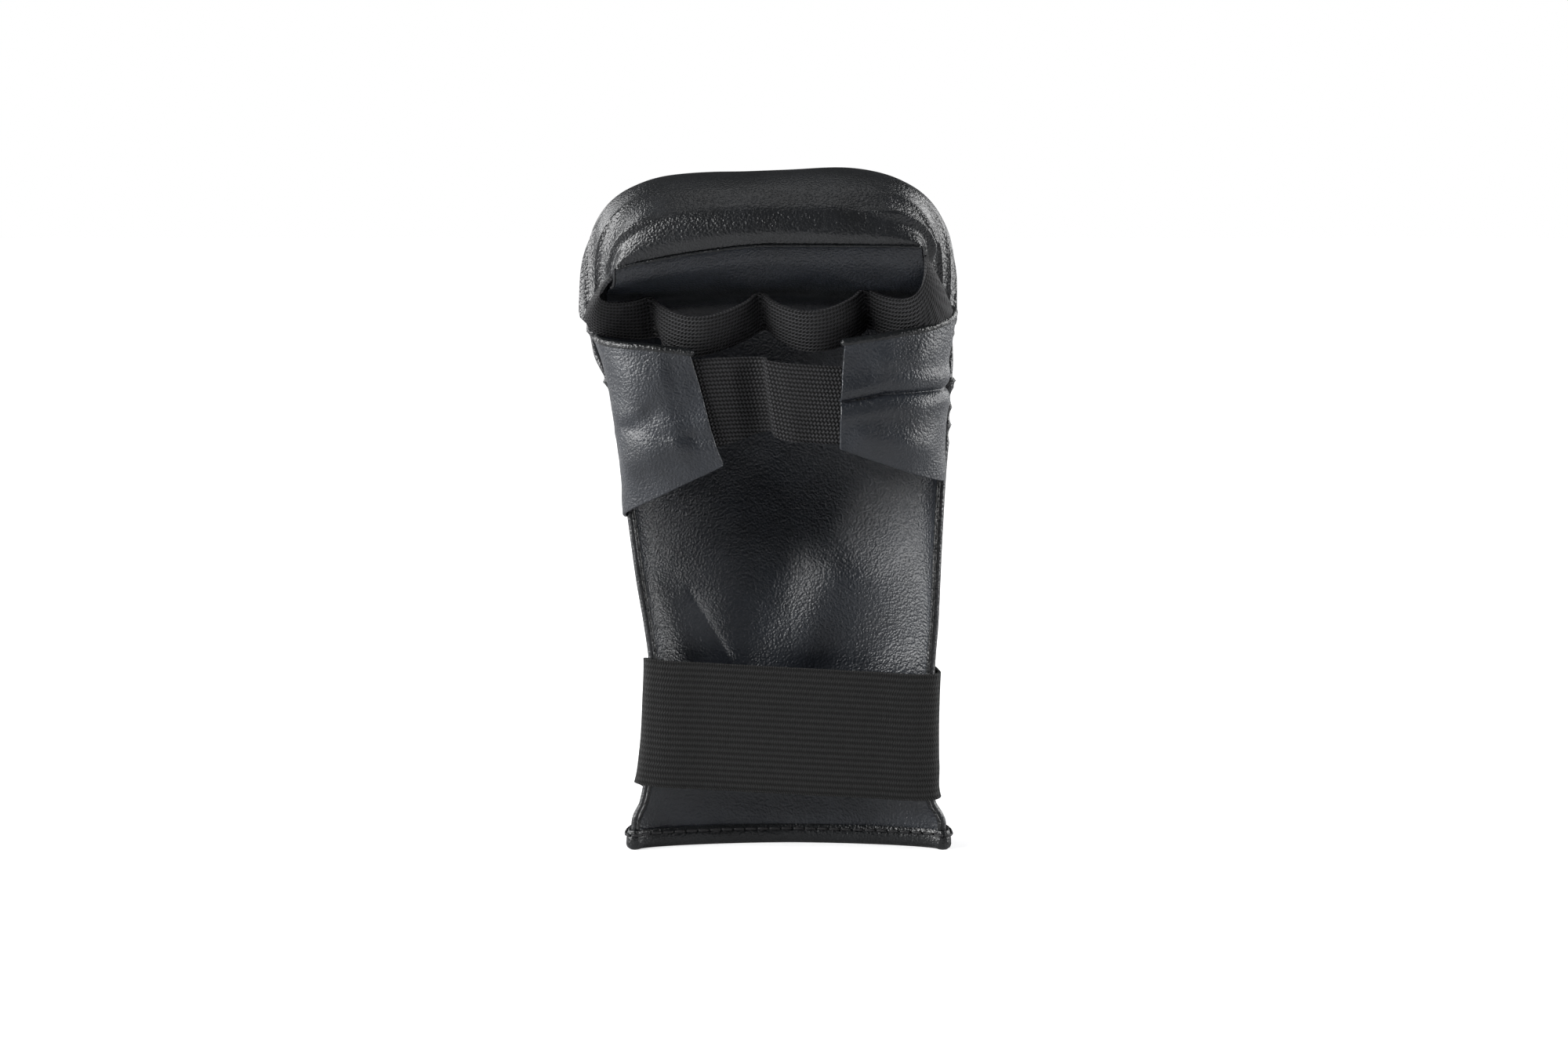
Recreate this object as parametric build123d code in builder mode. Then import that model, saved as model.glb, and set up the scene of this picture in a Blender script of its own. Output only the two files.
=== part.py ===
from build123d import *
from collections import namedtuple
from math import copysign, cos, radians, sin, tan
import os

# Padded martial-arts mitt for one hand, open over the palm, standing on its cuff.
# +Z runs from the cuff to the fist, -Y is the palm side, +Y the back of the hand.
# The origin is on the hem's bottom face, midway between the cuff's two sides.

# ------------------------------------------------------------------ driving dimensions (mm)
COVER = 1.4               # outer leather
LINING = 0.9              # inner leather
ELASTIC = 1.3             # knitted elastics
LAYER_GAP = 0.25          # glue line between two leathers
SEWN_GAP = 0.05           # between layers that are sewn flat on each other
FOAM_GAP = 0.8            # between the foam and the leather round it
BACK_FULLNESS = 2.6       # how square the arch over the back of the hand is
PALM_FULLNESS = 2.4       # how square the hollow that the hand lies in is
EDGE_FOLD = 1.3           # leather folded round the foam's side edges
WELT_DEPTH = 1.1          # sewn welt that closes each side edge
WELT_CLEAR = 0.1
SPAN = 160                # larger than the glove, for the cutting bodies

WRIST_Y = 6               # wrist bend: axis along X
WRIST_Z = 92
WRIST_RADIUS = 27
KNUCKLE_Y = 22            # knuckle bend: axis along X
KNUCKLE_Z = 186
KNUCKLE_RADIUS = 19.5
BEND_GAP = 0.5            # running gap between the two halves of a bend
HAND_SLOPE = 5            # degrees below level of the hand's front edge at the knuckle bend
FIST_SLOPE = 7            # degrees above level of the fist's front edge there

HEM_HEIGHT = 6
HEM_FLARE = 2.0           # how far the rolled hem stands out from the leather
HEM_STITCHES = 19         # along the palm side
HEM_STITCH_Z = 4.2
HEM_STITCH_STANDOFF = 0.6
STRAP_LOW = 18            # wrist strap, bottom and top edges
STRAP_HIGH = 64
STRAP_STANDOFF = 2.0      # strap's inner face to the cover
STRAP_PALM_Y = -17.5      # strap's inner face on the palm side
STRAP_HINGE_Y = -12       # where the free end starts to peel, at the left edge
STRAP_HINGE_GAP = 1.6
STRAP_ANCHOR_X = 16       # where the fixed end is sewn to the back
STRAP_TAB_X = 8           # where the free end stops on the back
PATCH_LOW = 23
PATCH_HIGH = 59
LOOP_PATCH_LEFT = -32
HOOK_PATCH_LEFT = -24
PATCH_RIGHT = 4
LOOP_PATCH_FACES = (0.15, 0.95)   # off the cover
HOOK_PATCH_FACES = (1.15, 1.95)
TAB_FOLD = 7              # length of the free end turned back on itself
TAB_FOLD_THICKNESS = 1.0
ANCHOR_INSET = 4          # box of stitches that holds the fixed end
ANCHOR_WIDTH = 14

FLAP_LOW = 116            # levels between which both palm flaps are developed
FLAP_HIGH = 194
FLAP_PALM_LOW = -36       # flap's outer face over the palm at those levels
FLAP_PALM_HIGH = -42
FLAP_CORNER = 13          # bend from the side of the hand to the palm
FLAP_TOP_ROLL = 3.4       # height of the rolled top edge
FLAP_REACH = 12           # how far past the middle a flap is developed before it is cut
FLAP_SEAM_LOW = -17.6     # y where a flap meets the side edge, at its two levels
FLAP_SEAM_HIGH = -11.6
FLAP_EDGE_OUTSIDE = 0.6   # the rolled edge stands off the flap's outer and inner faces
FLAP_EDGE_INSIDE = 0.3

PALM_ELASTIC_LOW = 149.5
PALM_ELASTIC_HIGH = 179.5
PALM_ELASTIC_LEFT = -34
PALM_ELASTIC_RIGHT = 27
PALM_ELASTIC_RIDGE = -3   # fold ridge at its middle
RIDGE_WIDTH = 4
RIDGE_HEIGHT = 1.6

FINGER_ELASTIC_WIDTH = 16
FINGER_LEAN = 19          # degrees that the strip's top leans towards the palm
FINGER_Y = -31            # bottom edge of the strip, at the loops
FINGER_Z = 181
FINGER_TACK_DEPTH = 9.5   # tacked points stand this much nearer the lining
FINGER_TACKS = (-49.5, -10, 27)
FINGER_ENDS = (-62, 51)   # x of the strip's two sewn ends
FINGER_BULGES = (1, -2, -2, 0)    # how far each loop stands off the strip's plane
TACK_WIDTH = 2.4
TACK_DEPTH = 1.2

TIP_SEAM_RADIUS = 1.0
STITCH = 3.0              # length of one stitch
THREAD = 0.7

# ------------------------------------------------------------------ cross-sections of the padded shell
# inner and outer are (y, z) of the lining and of the cover on the middle line, edge is how far
# the side edges stand out towards the palm, left and right are x, wall is the side edge's width.
Station = namedtuple("Station", "inner outer edge left right wall")


def level(z, inner_y, outer_y, edge_y, left, right, wall):
    """A level cross-section at height z."""
    return Station((inner_y, z), (outer_y, z), inner_y - edge_y, left, right, wall)


def at_height(first, last, z):
    """The level cross-section at height z between two others."""
    share = (z - first.inner[1]) / (last.inner[1] - first.inner[1])

    def mix(a, b):
        return a + (b - a) * share

    inner = tuple(mix(a, b) for a, b in zip(first.inner, last.inner))
    outer = tuple(mix(a, b) for a, b in zip(first.outer, last.outer))
    rest = (mix(a, b) for a, b in zip(first[2:], last[2:]))
    return Station(inner, outer, *rest)


MOUTH = level(HEM_HEIGHT, -5, 15, -15, -56, 55, 6)
LOW_CUFF = level(18, -5, 17.5, -16, -52, 51.5, 6)
HIGH_CUFF = level(67, -1.5, 25, -16, -50.5, 50.5, 6)
WRIST = level(92, 3, 29.5, -16, -52.5, 52, 7)
HEEL = level(122, 9, 34.5, -15, -57, 53.5, 8)
PALM = level(150, 14, 38, -12, -60.5, 55.5, 8)
UPPER_PALM = level(175, 15, 40, -10, -65.5, 56, 7)
BELOW_KNUCKLES = level(206, 13, 40, -8, -68.5, 56, 7)

CUFF_STATIONS = (MOUTH, LOW_CUFF, HIGH_CUFF, WRIST, HEEL)
HAND_STATIONS = (HIGH_CUFF, WRIST, HEEL, PALM, UPPER_PALM, BELOW_KNUCKLES)
FIST_STATIONS = (
    Station((15, 173), (40, 173), 24, -65.5, 56, 7),
    Station((12.5, 187), (40, 192), 16, -67, 56, 7),
    Station((6, 194), (31.5, 219.5), 9, -68.5, 56, 6),
    Station((-5, 197.5), (10, 236), 4, -68, 56, 6),
    Station((-18, 198.5), (-16, 240), 1.5, -66, 54, 6),
    Station((-31, 204), (-38, 236.5), 1.5, -63, 50.5, 6),
    Station((-43, 214), (-49, 230), 1, -58, 46, 5),
)
TIP = FIST_STATIONS[-1]
ARCH_ANGLES = (0, 15, 35, 60, 90, 120, 145, 165, 180)


def plane_of(station):
    """The cross-section's plane: x across the glove, y from the lining to the cover."""
    rise = Vector(0, station.outer[0] - station.inner[0], station.outer[1] - station.inner[1])
    across = Vector(1, 0, 0)
    return Plane(origin=(0, *station.inner), x_dir=across, z_dir=across.cross(rise))


def thickness(station):
    """Pad thickness on the middle line."""
    rise_y = station.outer[0] - station.inner[0]
    rise_z = station.outer[1] - station.inner[1]
    return Vector(0, rise_y, rise_z).length


def arch(half, base, height, middle, fullness):
    """Points along a superellipse arch from its left foot to its right foot."""
    points = []
    for angle in ARCH_ANGLES:
        across = cos(radians(angle))
        up = abs(sin(radians(angle)))
        x = middle - half * copysign(abs(across) ** (2 / fullness), across)
        points.append((x, base + height * up ** (2 / fullness)))
    return points


def back_arch(station, depth, lift=0):
    """The cover's surface, or a surface that lies depth under it."""
    half = (station.right - station.left) / 2 - depth
    height = thickness(station) + station.edge - depth - lift
    middle = (station.left + station.right) / 2
    return arch(half, lift - station.edge, height, middle, BACK_FULLNESS)


def palm_arch(station, depth, lift=0):
    """The lining's surface, or a surface that lies depth behind it."""
    half = (station.right - station.left) / 2 - station.wall + depth
    height = station.edge + depth - lift
    middle = (station.left + station.right) / 2
    return arch(half, lift - station.edge, height, middle, PALM_FULLNESS)


def layer_section(station, upper, lower):
    """A closed section between two arches."""
    with BuildSketch(plane_of(station)) as section:
        with BuildLine():
            top = Spline(*upper)
            bottom = Spline(*lower)
            Line(top @ 0, bottom @ 0)
            Line(top @ 1, bottom @ 1)
        make_face()
    return section.sketch


def welt_section(station, side):
    """The sewn welt of one side edge: side is -1 for left and 1 for right."""
    edge_x = station.left if side < 0 else station.right
    middle = edge_x - side * station.wall / 2
    with BuildSketch(plane_of(station)) as section:
        with Locations((middle, -station.edge - WELT_CLEAR - WELT_DEPTH / 2)):
            Rectangle(station.wall, WELT_DEPTH)
    return section.sketch


def cover_section(station):
    return layer_section(station, back_arch(station, 0), back_arch(station, COVER))


def foam_section(station):
    top = back_arch(station, COVER + FOAM_GAP, EDGE_FOLD)
    bottom = palm_arch(station, LINING + FOAM_GAP, EDGE_FOLD)
    return layer_section(station, top, bottom)


def lining_section(station):
    return layer_section(station, palm_arch(station, LINING), palm_arch(station, 0))


def whole_section(station):
    return layer_section(station, back_arch(station, 0), palm_arch(station, 0))


# ------------------------------------------------------------------ bodies of the three padded sections
with BuildPart() as cuff_zone:
    with BuildSketch(Plane.YZ):
        with Locations((0, WRIST_Z / 2)):
            Rectangle(SPAN, WRIST_Z)
        with Locations((WRIST_Y, WRIST_Z)):
            Circle(WRIST_RADIUS)
    extrude(amount=SPAN / 2, both=True)

with BuildPart() as hand_zone:
    hand_front = (-SPAN / 2, KNUCKLE_Z - (KNUCKLE_Y + SPAN / 2) * tan(radians(HAND_SLOPE)))
    with BuildSketch(Plane.YZ):
        with BuildLine():
            Polyline(
                (-SPAN / 2, WRIST_Z),
                (SPAN / 2, WRIST_Z),
                (SPAN / 2, KNUCKLE_Z),
                (KNUCKLE_Y, KNUCKLE_Z),
                hand_front,
                close=True,
            )
        make_face()
        with Locations((WRIST_Y, WRIST_Z)):
            Circle(WRIST_RADIUS + BEND_GAP, mode=Mode.SUBTRACT)
        with Locations((KNUCKLE_Y, KNUCKLE_Z)):
            Circle(KNUCKLE_RADIUS)
    extrude(amount=SPAN / 2, both=True)

with BuildPart() as fist_zone:
    fist_front = (-SPAN / 2, KNUCKLE_Z + (KNUCKLE_Y + SPAN / 2) * tan(radians(FIST_SLOPE)))
    with BuildSketch(Plane.YZ):
        with BuildLine():
            Polyline(
                (KNUCKLE_Y, KNUCKLE_Z),
                (SPAN / 2, KNUCKLE_Z),
                (SPAN / 2, KNUCKLE_Z + SPAN),
                (-SPAN / 2, KNUCKLE_Z + SPAN),
                fist_front,
                close=True,
            )
        make_face()
        with Locations((KNUCKLE_Y, KNUCKLE_Z)):
            Circle(KNUCKLE_RADIUS + BEND_GAP, mode=Mode.SUBTRACT)
    extrude(amount=SPAN / 2, both=True)


def finish(part, name):
    """Labels a finished piece and writes it."""
    part.label = name
    export_step(part, f"parts/{name}.step")


os.makedirs("parts", exist_ok=True)

# ------------------------------------------------------------------ cuff
with BuildPart() as cuff_cover:
    loft([cover_section(station) for station in CUFF_STATIONS], ruled=True)
    add(cuff_zone.part, mode=Mode.INTERSECT)
finish(cuff_cover.part, "cuff_cover")

with BuildPart() as cuff_foam:
    loft([foam_section(station) for station in CUFF_STATIONS], ruled=True)
    add(cuff_zone.part, mode=Mode.INTERSECT)
finish(cuff_foam.part, "cuff_foam")

with BuildPart() as cuff_lining:
    loft([lining_section(station) for station in CUFF_STATIONS], ruled=True)
    add(cuff_zone.part, mode=Mode.INTERSECT)
finish(cuff_lining.part, "cuff_lining")

for side, side_name in ((-1, "left"), (1, "right")):
    with BuildPart() as cuff_welt:
        loft([welt_section(station, side) for station in CUFF_STATIONS], ruled=True)
        add(cuff_zone.part, mode=Mode.INTERSECT)
    finish(cuff_welt.part, f"cuff_{side_name}_seam")

# The leather is rolled round the cuff's mouth and sewn through: a firm edge that it stands on.
with BuildPart() as hem_binding:
    with BuildSketch(Plane.XY):
        with BuildLine():
            hem_back = Spline(*[(x, y + MOUTH.inner[0]) for x, y in back_arch(MOUTH, -HEM_FLARE)])
            hem_palm = Spline(*[(x, y + MOUTH.inner[0]) for x, y in palm_arch(MOUTH, -HEM_FLARE)])
            Line(hem_back @ 0, hem_palm @ 0)
            Line(hem_back @ 1, hem_palm @ 1)
        make_face()
    extrude(amount=HEM_HEIGHT - WELT_CLEAR)
finish(hem_binding.part, "hem_binding")

with BuildPart() as hem_stitches:
    hem_front = Spline(*[(x, y + MOUTH.inner[0]) for x, y in palm_arch(MOUTH, -HEM_FLARE)])
    for index in range(HEM_STITCHES):
        share = (index + 0.5) / HEM_STITCHES
        heading = hem_front % share
        outward = Vector(heading.Y, -heading.X)
        place = hem_front @ share + outward * HEM_STITCH_STANDOFF + Vector(0, 0, HEM_STITCH_Z)
        with Locations(Plane(origin=place, x_dir=heading, z_dir=(0, 0, 1))):
            Box(STITCH, THREAD, THREAD)
finish(hem_stitches.part, "hem_stitches")

# ------------------------------------------------------------------ wrist strap and its closure
STRAP_STATIONS = (
    at_height(LOW_CUFF, HIGH_CUFF, STRAP_LOW),
    at_height(LOW_CUFF, HIGH_CUFF, STRAP_HIGH),
)


def strap_loop(station, standoff):
    """The closed outline round the cuff that stands a given distance off the cover."""
    palm = STRAP_PALM_Y - (standoff - STRAP_STANDOFF) - station.inner[0]
    with BuildSketch(plane_of(station)) as section:
        with BuildLine():
            over = Spline(*back_arch(station, -standoff))
            left_foot = over @ 0
            right_foot = over @ 1
            Polyline(left_foot, (left_foot.X, palm), (right_foot.X, palm), right_foot)
        make_face()
    return section.sketch


def strap_band(inner, outer):
    """A band round the cuff whose faces stand inner and outer off the cover."""
    loft([strap_loop(station, outer) for station in STRAP_STATIONS], ruled=True)
    loft([strap_loop(station, inner) for station in STRAP_STATIONS], ruled=True, mode=Mode.SUBTRACT)


def keep_box(low, high, mode=Mode.INTERSECT):
    """Keeps, or takes away, what is inside a box between two corners."""
    size = [b - a for a, b in zip(low, high)]
    middle = [(a + b) / 2 for a, b in zip(low, high)]
    with Locations(tuple(middle)):
        Box(*size, mode=mode)


STRAP_OUTER = STRAP_STANDOFF + ELASTIC
with BuildPart() as wrist_strap:
    strap_band(STRAP_STANDOFF, STRAP_OUTER)
    keep_box(
        (-SPAN / 2, STRAP_HINGE_Y - STRAP_HINGE_GAP, 0),
        (STRAP_ANCHOR_X, SPAN / 2, SPAN),
        mode=Mode.SUBTRACT,
    )
finish(wrist_strap.part, "wrist_strap")

with BuildPart() as strap_tab:
    strap_band(STRAP_STANDOFF, STRAP_OUTER)
    keep_box((-SPAN / 2, STRAP_HINGE_Y + STRAP_HINGE_GAP, 0), (STRAP_TAB_X, SPAN / 2, SPAN))
finish(strap_tab.part, "strap_tab")


def back_patch(inner, outer, left):
    """A patch that follows the back of the cuff, inner and outer off the cover."""
    sections = []
    for station in STRAP_STATIONS:
        sections.append(layer_section(station, back_arch(station, -outer), back_arch(station, -inner)))
    loft(sections, ruled=True)
    keep_box((left, 0, PATCH_LOW), (PATCH_RIGHT, SPAN / 2, PATCH_HIGH))


with BuildPart() as loop_patch:
    back_patch(*LOOP_PATCH_FACES, LOOP_PATCH_LEFT)
finish(loop_patch.part, "loop_patch")

with BuildPart() as hook_patch:
    back_patch(*HOOK_PATCH_FACES, HOOK_PATCH_LEFT)
finish(hook_patch.part, "hook_patch")

with BuildPart() as strap_end_fold:
    strap_band(STRAP_OUTER + SEWN_GAP, STRAP_OUTER + SEWN_GAP + TAB_FOLD_THICKNESS)
    keep_box((STRAP_TAB_X - TAB_FOLD, 0, 0), (STRAP_TAB_X, SPAN / 2, SPAN))
finish(strap_end_fold.part, "strap_end_fold")

with BuildPart() as strap_anchor_stitches:
    strap_band(STRAP_OUTER + SEWN_GAP, STRAP_OUTER + THREAD)
    keep_box(
        (STRAP_ANCHOR_X + ANCHOR_INSET, 0, STRAP_LOW + ANCHOR_INSET),
        (STRAP_ANCHOR_X + ANCHOR_INSET + ANCHOR_WIDTH, SPAN / 2, STRAP_HIGH - ANCHOR_INSET),
    )
    keep_box(
        (STRAP_ANCHOR_X + ANCHOR_INSET + THREAD, 0, STRAP_LOW + ANCHOR_INSET + THREAD),
        (
            STRAP_ANCHOR_X + ANCHOR_INSET + ANCHOR_WIDTH - THREAD,
            SPAN / 2,
            STRAP_HIGH - ANCHOR_INSET - THREAD,
        ),
        mode=Mode.SUBTRACT,
    )
finish(strap_anchor_stitches.part, "strap_anchor_stitches")

# ------------------------------------------------------------------ back of the hand
with BuildPart() as hand_cover:
    loft([cover_section(station) for station in HAND_STATIONS], ruled=True)
    add(hand_zone.part, mode=Mode.INTERSECT)
finish(hand_cover.part, "hand_cover")

with BuildPart() as hand_foam:
    loft([foam_section(station) for station in HAND_STATIONS], ruled=True)
    add(hand_zone.part, mode=Mode.INTERSECT)
finish(hand_foam.part, "hand_foam")

with BuildPart() as hand_lining:
    loft([lining_section(station) for station in HAND_STATIONS], ruled=True)
    add(hand_zone.part, mode=Mode.INTERSECT)
finish(hand_lining.part, "hand_lining")

for side, side_name in ((-1, "left"), (1, "right")):
    with BuildPart() as hand_welt:
        loft([welt_section(station, side) for station in HAND_STATIONS], ruled=True)
        add(hand_zone.part, mode=Mode.INTERSECT)
    finish(hand_welt.part, f"hand_{side_name}_seam")

# ------------------------------------------------------------------ palm flaps
# Each flap starts at the side edge, turns over the side of the hand and lies across the palm.
# outline is (x, z) of its corners: at the side top, inner top, inner bottom and side bottom.
Flap = namedtuple("Flap", "side low_x high_x outline")
LEFT_FLAP = Flap(-1, -58.5, -69, ((-75, 184.5), (-33.5, 182.5), (-22, 142.5), (-75, 116)))
RIGHT_FLAP = Flap(1, 54.5, 58.5, ((65, 192.8), (22, 186), (20.5, 145), (65, 126)))


def flap_sheet(flap, near, far):
    """A sheet whose two faces lie near and far inside the flap's outer face."""
    levels = (
        (FLAP_LOW, flap.low_x, FLAP_SEAM_LOW, FLAP_PALM_LOW),
        (FLAP_HIGH, flap.high_x, FLAP_SEAM_HIGH, FLAP_PALM_HIGH),
    )
    sections = []
    for z, side_x, seam_y, palm_y in levels:
        with BuildSketch(Plane.XY.offset(z)) as section:
            with BuildLine():
                ends = []
                for depth in (near, far):
                    x = side_x - flap.side * depth
                    path = FilletPolyline(
                        (x, seam_y),
                        (x, palm_y + depth),
                        (flap.side * -FLAP_REACH, palm_y + depth),
                        radius=FLAP_CORNER - depth,
                    )
                    ends.append(path)
                Line(ends[0] @ 0, ends[1] @ 0)
                Line(ends[0] @ 1, ends[1] @ 1)
            make_face()
        sections.append(section.sketch)
    loft(sections, ruled=True)


def flap_outline(corners, top_drop, height=None):
    """Keeps the part of a flap inside its outline, or only a strip along its top."""
    (side_top, inner_top, inner_low, side_low) = corners
    side_top = (side_top[0], side_top[1] - top_drop)
    inner_top = (inner_top[0], inner_top[1] - top_drop)
    if height is not None:
        inner_low = (inner_top[0], inner_top[1] - height)
        side_low = (side_top[0], side_top[1] - height)
    with BuildSketch(Plane.XZ, mode=Mode.PRIVATE) as outline:
        with BuildLine():
            Polyline(side_top, inner_top, inner_low, side_low, close=True)
        make_face()
    extrude(outline.sketch, amount=SPAN / 2, both=True, mode=Mode.INTERSECT)


FLAP_STACK = COVER + LAYER_GAP + LINING
for flap, flap_name in ((LEFT_FLAP, "left"), (RIGHT_FLAP, "right")):
    with BuildPart() as flap_outer:
        flap_sheet(flap, 0, COVER)
        flap_outline(flap.outline, FLAP_TOP_ROLL + WELT_CLEAR)
    finish(flap_outer.part, f"{flap_name}_flap_outer")

    with BuildPart() as flap_lining:
        flap_sheet(flap, COVER + LAYER_GAP, FLAP_STACK)
        flap_outline(flap.outline, FLAP_TOP_ROLL + WELT_CLEAR)
    finish(flap_lining.part, f"{flap_name}_flap_lining")

    with BuildPart() as flap_edge:
        flap_sheet(flap, -FLAP_EDGE_OUTSIDE, FLAP_STACK + FLAP_EDGE_INSIDE)
        flap_outline(flap.outline, 0, FLAP_TOP_ROLL)
    finish(flap_edge.part, f"{flap_name}_flap_edge")


def flap_inner_y(z):
    """The flaps' inner face over the palm at height z."""
    share = (z - FLAP_LOW) / (FLAP_HIGH - FLAP_LOW)
    return FLAP_PALM_LOW + (FLAP_PALM_HIGH - FLAP_PALM_LOW) * share + FLAP_STACK


with BuildPart() as palm_elastic:
    for z in (PALM_ELASTIC_LOW, PALM_ELASTIC_HIGH):
        front = flap_inner_y(z) + LAYER_GAP
        with BuildSketch(Plane.XY.offset(z)):
            with BuildLine():
                Polyline(
                    (PALM_ELASTIC_LEFT, front),
                    (PALM_ELASTIC_RIDGE - RIDGE_WIDTH, front),
                    (PALM_ELASTIC_RIDGE, front - RIDGE_HEIGHT),
                    (PALM_ELASTIC_RIDGE + RIDGE_WIDTH, front),
                    (PALM_ELASTIC_RIGHT, front),
                    (PALM_ELASTIC_RIGHT, front + ELASTIC),
                    (PALM_ELASTIC_LEFT, front + ELASTIC),
                    close=True,
                )
            make_face()
    loft(ruled=True)
finish(palm_elastic.part, "palm_elastic")

# ------------------------------------------------------------------ fist pad
with BuildPart() as fist_cover:
    loft([cover_section(station) for station in FIST_STATIONS], ruled=True)
    extrude(whole_section(TIP), amount=COVER)
    add(fist_zone.part, mode=Mode.INTERSECT)
finish(fist_cover.part, "fist_cover")

with BuildPart() as fist_foam:
    loft([foam_section(station) for station in FIST_STATIONS], ruled=True)
    add(fist_zone.part, mode=Mode.INTERSECT)
finish(fist_foam.part, "fist_foam")

with BuildPart() as fist_lining:
    loft([lining_section(station) for station in FIST_STATIONS], ruled=True)
    add(fist_zone.part, mode=Mode.INTERSECT)
finish(fist_lining.part, "fist_lining")

with BuildPart() as tip_seam:
    seam_y = TIP.inner[0] - TIP_SEAM_RADIUS - COVER
    with BuildSketch(Plane.YZ.offset(TIP.left + TIP.wall)):
        with Locations((seam_y, TIP.inner[1] - TIP_SEAM_RADIUS - COVER)):
            Circle(TIP_SEAM_RADIUS)
    extrude(amount=TIP.right - TIP.left - 2 * TIP.wall)
finish(tip_seam.part, "tip_seam")

# ------------------------------------------------------------------ finger elastic
lean = radians(FINGER_LEAN)
STRIP_PLANE = Plane(
    origin=(0, FINGER_Y, FINGER_Z),
    x_dir=(1, 0, 0),
    z_dir=(0, -sin(lean), cos(lean)),
)
stops = (FINGER_ENDS[0], *FINGER_TACKS, FINGER_ENDS[1])
with BuildPart() as finger_elastic:
    with BuildSketch(STRIP_PLANE):
        for left, right, bulge in zip(stops, stops[1:], FINGER_BULGES):
            with BuildLine():
                ThreePointArc(
                    (left, FINGER_TACK_DEPTH),
                    ((left + right) / 2, bulge),
                    (right, FINGER_TACK_DEPTH),
                )
            trace(line_width=ELASTIC)
    extrude(amount=FINGER_ELASTIC_WIDTH)
finish(finger_elastic.part, "finger_elastic")

with BuildPart() as finger_tacks:
    for x in FINGER_TACKS:
        with BuildSketch(STRIP_PLANE):
            with Locations((x, FINGER_TACK_DEPTH + ELASTIC / 2 + TACK_DEPTH)):
                Rectangle(TACK_WIDTH, TACK_DEPTH)
        extrude(amount=FINGER_ELASTIC_WIDTH)
finish(finger_tacks.part, "finger_tacks")
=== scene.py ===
"""Looks of an open-palm sparring glove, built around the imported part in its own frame."""

import math

import bmesh
import bpy
import numpy as np
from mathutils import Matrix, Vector, noise


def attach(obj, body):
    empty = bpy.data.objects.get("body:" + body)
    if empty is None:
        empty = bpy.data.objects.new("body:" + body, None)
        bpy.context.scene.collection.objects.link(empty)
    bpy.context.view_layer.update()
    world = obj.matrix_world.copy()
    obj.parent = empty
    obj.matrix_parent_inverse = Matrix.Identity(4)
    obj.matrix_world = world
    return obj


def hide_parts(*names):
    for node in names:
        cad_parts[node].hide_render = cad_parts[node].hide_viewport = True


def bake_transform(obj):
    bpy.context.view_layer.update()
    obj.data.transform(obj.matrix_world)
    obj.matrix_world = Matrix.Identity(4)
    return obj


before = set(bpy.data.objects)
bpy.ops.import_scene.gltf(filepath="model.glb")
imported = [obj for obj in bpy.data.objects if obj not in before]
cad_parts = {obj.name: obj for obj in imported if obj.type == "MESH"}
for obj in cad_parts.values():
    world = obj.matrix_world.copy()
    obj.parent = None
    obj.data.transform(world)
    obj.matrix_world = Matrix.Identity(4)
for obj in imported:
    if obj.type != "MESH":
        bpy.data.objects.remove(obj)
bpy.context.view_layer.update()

MM = 0.001

# Cross-sections of the padded shell, in mm. A level row is cut flat at one height:
# height, lining crown y, back crown y, side edge y, left x, right x.
LEVEL_ROWS = (
    (3.5, -6.5, 13, -16, -57, 56),
    (11, -6, 16, -16.5, -56.6, 55.6),
    (18, -5.5, 18, -16.5, -53.8, 52),
    (30, -5, 19.5, -16.5, -51.8, 51.2),
    (48, -3.8, 22, -16.5, -50.6, 51),
    (67, -1.5, 25, -16.5, -50.2, 51.6),
    (82, 1, 27.8, -16.5, -52, 52.6),
    (98, 4, 30.5, -16.3, -54.6, 53.3),
    (116, 7.8, 33.8, -15.5, -57, 54),
    (134, 11.4, 36.4, -13.8, -59.5, 55),
    (152, 14, 38.2, -12, -62, 56.4),
    (168, 15, 39.5, -11, -64.5, 57),
)
LEVEL_ROLL = 1.3
LEVEL_FULLNESS = 2.6
# A fist row leans over the knuckles:
# lining crown (y, z), back crown (y, z), depth of the edges below the lining crown,
# left x, right x, roll of the edge, fullness.
FIST_ROWS = (
    ((15, 168), (39.5, 168), 26, -64.5, 57, 1.3, 2.6),
    ((14.5, 178), (40.5, 181), 24, -68.5, 57.5, 1.4, 2.6),
    ((12.5, 187), (39.5, 196), 17, -70.5, 57.5, 1.6, 2.6),
    ((8, 193.5), (34, 214.5), 11, -71, 57, 1.8, 2.8),
    ((1, 196.5), (23, 230.5), 8, -71.8, 56.8, 1.8, 3.1),
    ((-7, 198), (7, 239.2), 5.5, -71.8, 56.5, 1.8, 3.4),
    ((-15, 198.8), (-9, 241.6), 4, -70.3, 55.5, 1.6, 3.6),
    ((-23, 200.5), (-24, 241), 3, -68, 53.5, 1.4, 3.6),
    ((-31, 204), (-35.5, 238), 2.5, -65, 50.8, 0.9, 3.3),
    ((-39, 210.5), (-43, 233.5), 1.2, -62, 47.6, 0.6, 2.9),
    ((-43, 215), (-47.5, 229.5), 0.6, -60.6, 46, 0.4, 2.7),
    ((-45, 217), (-49.3, 223.5), 0.3, -60.2, 45.4, 0.25, 2.5),
    ((-46.5, 218), (-47.5, 219), 0.1, -60, 45, 0.15, 2.4),
)
LINING_FULLNESS = 1.6
LINING = 1.0
LINING_INSET = 0.3
PAD_GAP = 0.25
ROLL_TURN = math.radians(320)
ROLL_POINTS = 24
OUTLINE_POINTS = 500


def smooth(x):
    """0 below 0, 1 above 1, and an even turn between them."""
    x = np.clip(x, 0, 1)
    return x * x * (3 - 2 * x)


def ramp(x, start, end):
    """0 at start, 1 at end, and an even turn between them."""
    return smooth((x - start) / (end - start))


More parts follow.
